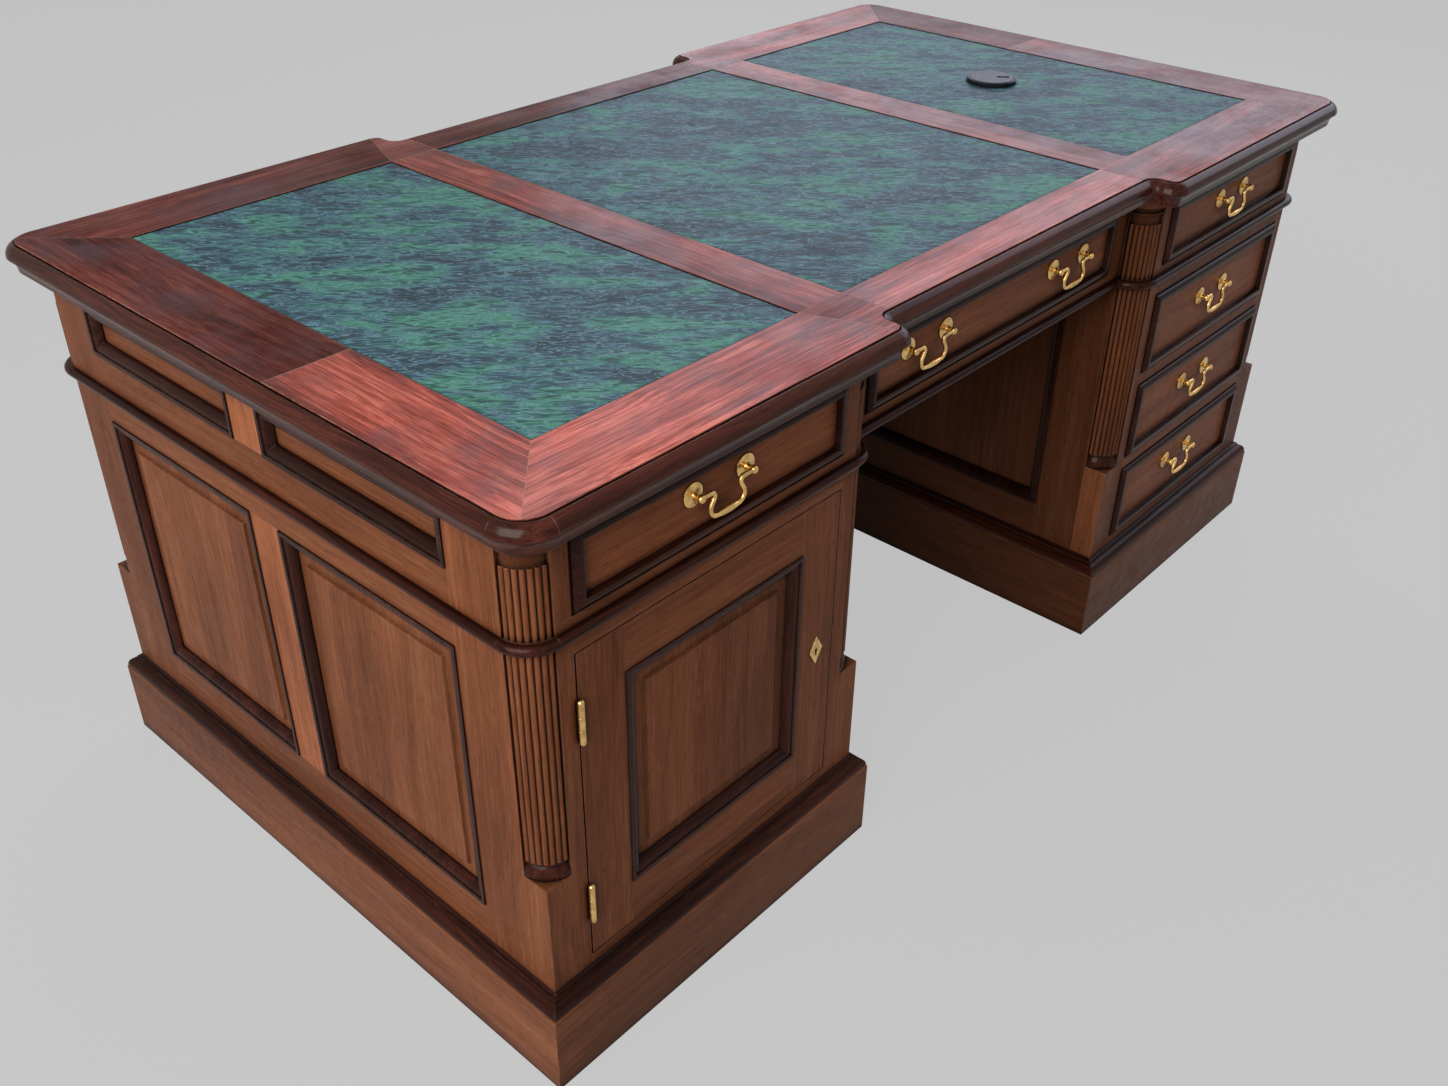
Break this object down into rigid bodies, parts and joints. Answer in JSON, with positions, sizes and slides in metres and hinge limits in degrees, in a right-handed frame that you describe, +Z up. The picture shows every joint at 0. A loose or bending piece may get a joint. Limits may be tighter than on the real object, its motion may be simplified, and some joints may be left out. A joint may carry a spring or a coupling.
{
  "type": "partners desk",
  "caption": "Mahogany partners desk with a breakfront leather-lined top, reeded quarter columns, drawers with brass bail handles, framed cupboard doors and a cable grommet.",
  "frame": {"origin": "on the floor under the middle of the desk", "axes": "+X along the desk's length, -Y towards the sitter with the cupboard on the left, +Z up"},
  "size_m": [1.78, 0.984, 0.7866],
  "materials": {
    "case_wood": "polished mahogany",
    "top_wood": "glossy polished mahogany",
    "lining_wood": "plain board",
    "leather": "mottled worn leather",
    "brass": "polished brass",
    "grommet": "glossy black"
  },
  "bodies": {
    "desk": {"top_rails": "top_wood", "top_edge": "top_wood", "top_ground": "lining_wood", "leather_left": "leather", "leather_centre": "leather", "leather_right": "leather", "grommet_liner": "grommet", "frieze_frame": "case_wood", "frieze_mouldings": "case_wood", "pedestal_left": "case_wood", "pedestal_right": "case_wood", "columns": "case_wood", "side_panels": "case_wood", "panel_mouldings": "case_wood", "plinths": "case_wood", "hinge_leaves": "brass"},
    "grommet_cap": {"grommet_cap": "grommet"},
    "front_left_drawer": {"front_left_drawer": "case_wood", "front_left_drawer_brass": "brass"},
    "front_left_bail": {"front_left_bail": "brass"},
    "front_centre_drawer": {"front_centre_drawer": "case_wood", "front_centre_drawer_brass": "brass"},
    "front_centre_left_bail": {"front_centre_left_bail": "brass"},
    "front_centre_right_bail": {"front_centre_right_bail": "brass"},
    "front_right_drawer": {"front_right_drawer": "case_wood", "front_right_drawer_brass": "brass"},
    "front_right_bail": {"front_right_bail": "brass"},
    "front_lower_drawer": {"front_lower_drawer": "case_wood", "front_lower_drawer_brass": "brass"},
    "front_lower_bail": {"front_lower_bail": "brass"},
    "front_middle_drawer": {"front_middle_drawer": "case_wood", "front_middle_drawer_brass": "brass"},
    "front_middle_bail": {"front_middle_bail": "brass"},
    "front_upper_drawer": {"front_upper_drawer": "case_wood", "front_upper_drawer_brass": "brass"},
    "front_upper_bail": {"front_upper_bail": "brass"},
    "front_door": {"front_door": "case_wood", "front_door_brass": "brass"},
    "back_left_drawer": {"back_left_drawer": "case_wood", "back_left_drawer_brass": "brass"},
    "back_left_bail": {"back_left_bail": "brass"},
    "back_centre_drawer": {"back_centre_drawer": "case_wood", "back_centre_drawer_brass": "brass"},
    "back_centre_left_bail": {"back_centre_left_bail": "brass"},
    "back_centre_right_bail": {"back_centre_right_bail": "brass"},
    "back_right_drawer": {"back_right_drawer": "case_wood", "back_right_drawer_brass": "brass"},
    "back_right_bail": {"back_right_bail": "brass"},
    "back_lower_drawer": {"back_lower_drawer": "case_wood", "back_lower_drawer_brass": "brass"},
    "back_lower_bail": {"back_lower_bail": "brass"},
    "back_middle_drawer": {"back_middle_drawer": "case_wood", "back_middle_drawer_brass": "brass"},
    "back_middle_bail": {"back_middle_bail": "brass"},
    "back_upper_drawer": {"back_upper_drawer": "case_wood", "back_upper_drawer_brass": "brass"},
    "back_upper_bail": {"back_upper_bail": "brass"},
    "back_door": {"back_door": "case_wood", "back_door_brass": "brass"}
  },
  "joints": [
    {"name": "grommet_cap_turn", "type": "hinge", "parent": "desk", "child": "grommet_cap", "pos_m": [0.5715, -0.011, 0.783], "axis": [0, 0, 1], "continuous": true},
    {"name": "front_left_drawer_slide", "type": "slide", "parent": "desk", "child": "front_left_drawer", "axis": [0, -1, 0], "range_m": [0, 0.3]},
    {"name": "front_left_bail_swing", "type": "hinge", "parent": "front_left_drawer", "child": "front_left_bail", "pos_m": [-0.5915, -0.462, 0.691], "axis": [-1, 0, 0], "range_deg": [-13, 174]},
    {"name": "front_centre_drawer_slide", "type": "slide", "parent": "desk", "child": "front_centre_drawer", "axis": [0, -1, 0], "range_m": [0, 0.3]},
    {"name": "front_centre_left_bail_swing", "type": "hinge", "parent": "front_centre_drawer", "child": "front_centre_left_bail", "pos_m": [-0.168, -0.422, 0.691], "axis": [-1, 0, 0], "range_deg": [-13, 174]},
    {"name": "front_centre_right_bail_swing", "type": "hinge", "parent": "front_centre_drawer", "child": "front_centre_right_bail", "pos_m": [0.168, -0.422, 0.691], "axis": [-1, 0, 0], "range_deg": [-13, 174]},
    {"name": "front_right_drawer_slide", "type": "slide", "parent": "desk", "child": "front_right_drawer", "axis": [0, -1, 0], "range_m": [0, 0.3]},
    {"name": "front_right_bail_swing", "type": "hinge", "parent": "front_right_drawer", "child": "front_right_bail", "pos_m": [0.5915, -0.462, 0.691], "axis": [-1, 0, 0], "range_deg": [-13, 174]},
    {"name": "front_lower_drawer_slide", "type": "slide", "parent": "desk", "child": "front_lower_drawer", "axis": [0, -1, 0], "range_m": [0, 0.3]},
    {"name": "front_lower_bail_swing", "type": "hinge", "parent": "front_lower_drawer", "child": "front_lower_bail", "pos_m": [0.5915, -0.462, 0.2285], "axis": [-1, 0, 0], "range_deg": [-13, 174]},
    {"name": "front_middle_drawer_slide", "type": "slide", "parent": "desk", "child": "front_middle_drawer", "axis": [0, -1, 0], "range_m": [0, 0.3]},
    {"name": "front_middle_bail_swing", "type": "hinge", "parent": "front_middle_drawer", "child": "front_middle_bail", "pos_m": [0.5915, -0.462, 0.3795], "axis": [-1, 0, 0], "range_deg": [-13, 174]},
    {"name": "front_upper_drawer_slide", "type": "slide", "parent": "desk", "child": "front_upper_drawer", "axis": [0, -1, 0], "range_m": [0, 0.3]},
    {"name": "front_upper_bail_swing", "type": "hinge", "parent": "front_upper_drawer", "child": "front_upper_bail", "pos_m": [0.5915, -0.462, 0.5305], "axis": [-1, 0, 0], "range_deg": [-13, 174]},
    {"name": "front_door_swing", "type": "hinge", "parent": "desk", "child": "front_door", "pos_m": [-0.801, -0.4564, 0.3695], "axis": [0, 0, -1], "range_deg": [0, 170]},
    {"name": "back_left_drawer_slide", "type": "slide", "parent": "desk", "child": "back_left_drawer", "axis": [0, 1, 0], "range_m": [0, 0.3]},
    {"name": "back_left_bail_swing", "type": "hinge", "parent": "back_left_drawer", "child": "back_left_bail", "pos_m": [0.5915, 0.462, 0.691], "axis": [1, 0, 0], "range_deg": [-13, 174]},
    {"name": "back_centre_drawer_slide", "type": "slide", "parent": "desk", "child": "back_centre_drawer", "axis": [0, 1, 0], "range_m": [0, 0.3]},
    {"name": "back_centre_left_bail_swing", "type": "hinge", "parent": "back_centre_drawer", "child": "back_centre_left_bail", "pos_m": [0.168, 0.422, 0.691], "axis": [1, 0, 0], "range_deg": [-13, 174]},
    {"name": "back_centre_right_bail_swing", "type": "hinge", "parent": "back_centre_drawer", "child": "back_centre_right_bail", "pos_m": [-0.168, 0.422, 0.691], "axis": [1, 0, 0], "range_deg": [-13, 174]},
    {"name": "back_right_drawer_slide", "type": "slide", "parent": "desk", "child": "back_right_drawer", "axis": [0, 1, 0], "range_m": [0, 0.3]},
    {"name": "back_right_bail_swing", "type": "hinge", "parent": "back_right_drawer", "child": "back_right_bail", "pos_m": [-0.5915, 0.462, 0.691], "axis": [1, 0, 0], "range_deg": [-13, 174]},
    {"name": "back_lower_drawer_slide", "type": "slide", "parent": "desk", "child": "back_lower_drawer", "axis": [0, 1, 0], "range_m": [0, 0.3]},
    {"name": "back_lower_bail_swing", "type": "hinge", "parent": "back_lower_drawer", "child": "back_lower_bail", "pos_m": [-0.5915, 0.462, 0.2285], "axis": [1, 0, 0], "range_deg": [-13, 174]},
    {"name": "back_middle_drawer_slide", "type": "slide", "parent": "desk", "child": "back_middle_drawer", "axis": [0, 1, 0], "range_m": [0, 0.3]},
    {"name": "back_middle_bail_swing", "type": "hinge", "parent": "back_middle_drawer", "child": "back_middle_bail", "pos_m": [-0.5915, 0.462, 0.3795], "axis": [1, 0, 0], "range_deg": [-13, 174]},
    {"name": "back_upper_drawer_slide", "type": "slide", "parent": "desk", "child": "back_upper_drawer", "axis": [0, 1, 0], "range_m": [0, 0.3]},
    {"name": "back_upper_bail_swing", "type": "hinge", "parent": "back_upper_drawer", "child": "back_upper_bail", "pos_m": [-0.5915, 0.462, 0.5305], "axis": [1, 0, 0], "range_deg": [-13, 174]},
    {"name": "back_door_swing", "type": "hinge", "parent": "desk", "child": "back_door", "pos_m": [0.801, 0.4564, 0.3695], "axis": [0, 0, -1], "range_deg": [0, 170]}
  ]
}
